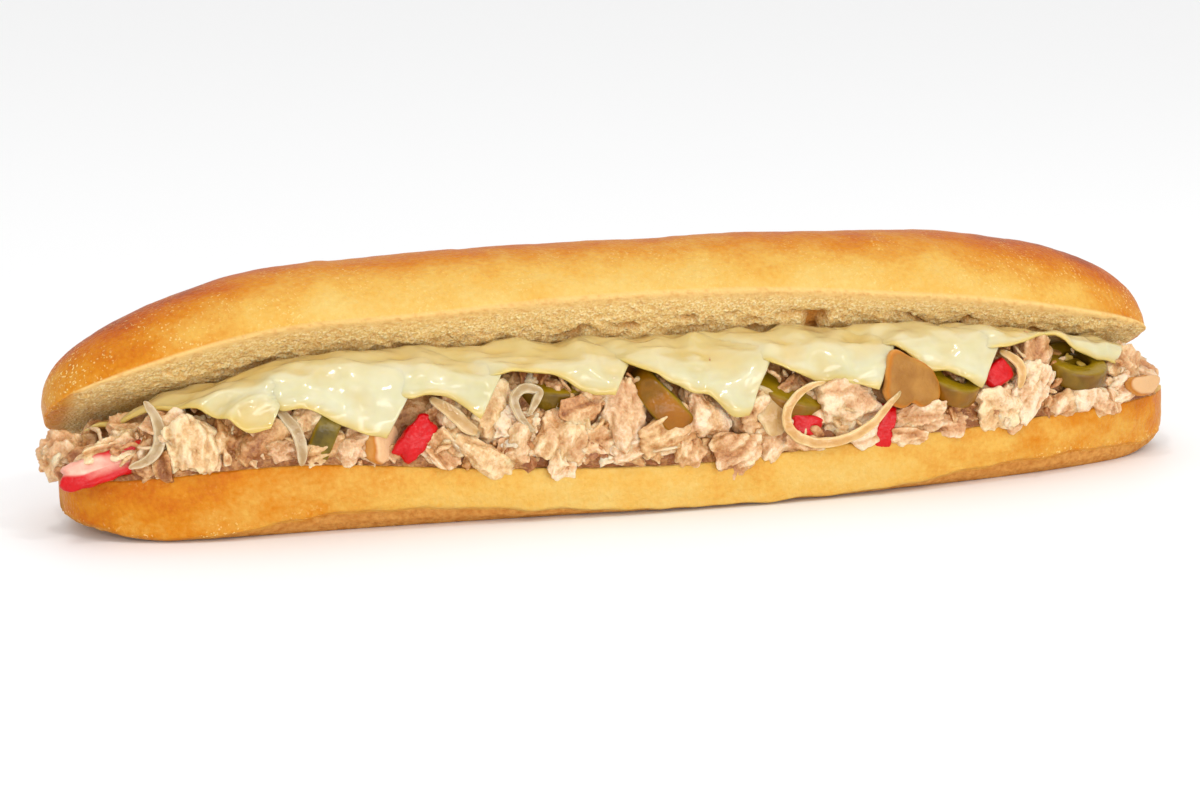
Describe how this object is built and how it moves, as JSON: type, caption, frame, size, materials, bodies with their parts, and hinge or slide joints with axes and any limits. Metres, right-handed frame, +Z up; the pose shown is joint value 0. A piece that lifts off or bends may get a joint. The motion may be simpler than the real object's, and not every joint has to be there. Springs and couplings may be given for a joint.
{
  "type": "chicken cheesesteak",
  "caption": "Long hinged sub roll, opened like a mouth, filled with pulled chicken, onion, mushroom, jalapeno and red pepper under draped white cheese slices.",
  "frame": {"origin": "on the table, under the middle of the whole sandwich's box", "axes": "+X along the roll, +Y towards the hinge, -Y out of the open side, +Z up"},
  "size_m": [0.308, 0.0822, 0.0642],
  "materials": {
    "bread": "baked crust with a soft sheen, matte crumb on the cut faces",
    "chicken": "moist pulled meat",
    "cheese": "soft gloss, slightly melted",
    "jalapeno": "wet gloss",
    "mushroom": "moist satin",
    "red_pepper": "wet gloss",
    "onion": "translucent, wet gloss"
  },
  "bodies": {
    "root": {"bread": "bread", "cheese_slice_1": "cheese", "cheese_slice_2": "cheese", "cheese_slice_3": "cheese", "cheese_slice_4": "cheese", "cheese_slice_5": "cheese", "cheese_slice_6": "cheese", "cheese_slice_7": "cheese", "cheese_slice_8": "cheese", "chicken_filling": "chicken", "jalapeno_ring_1": "jalapeno", "jalapeno_ring_2": "jalapeno", "jalapeno_ring_3": "jalapeno", "jalapeno_ring_4": "jalapeno", "jalapeno_ring_5": "jalapeno", "jalapeno_ring_6": "jalapeno", "mushroom_slice_1": "mushroom", "mushroom_slice_2": "mushroom", "mushroom_slice_3": "mushroom", "onion_strand_1": "onion", "onion_strand_2": "onion", "onion_strand_3": "onion", "onion_strand_4": "onion", "onion_strand_5": "onion", "onion_strand_6": "onion", "onion_strand_7": "onion", "onion_strand_8": "onion", "red_pepper_1": "red_pepper", "red_pepper_2": "red_pepper", "red_pepper_3": "red_pepper", "red_pepper_4": "red_pepper", "red_pepper_5": "red_pepper"}
  },
  "joints": []
}
